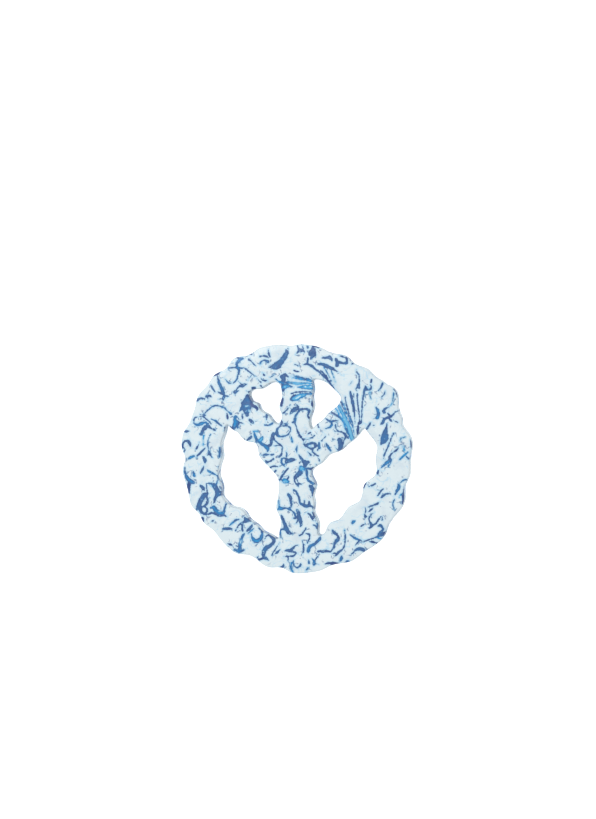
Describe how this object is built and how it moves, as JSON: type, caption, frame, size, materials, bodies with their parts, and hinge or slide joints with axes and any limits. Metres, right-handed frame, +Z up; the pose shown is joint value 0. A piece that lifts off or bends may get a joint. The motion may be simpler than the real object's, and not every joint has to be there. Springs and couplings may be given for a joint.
{
  "type": "marbled spoked ring",
  "caption": "Flat marbled plastic ring with lumpy edges, an upright post across it and two arms that rise from the post to the rim.",
  "frame": {"origin": "middle of the whole ring in plan, on its flat underside", "axes": "+Z up out of the pressed upper face, +Y along the post towards the end the arms rise to, +X to the right seen from above"},
  "size_m": [0.2034, 0.1992, 0.014],
  "materials": {
    "marbled_plastic": "glossy pressed plastic, bluish white with blue veins and pools all through it"
  },
  "bodies": {
    "root": {"rim": "marbled_plastic", "post": "marbled_plastic", "left_arm": "marbled_plastic", "right_arm": "marbled_plastic"}
  },
  "joints": []
}
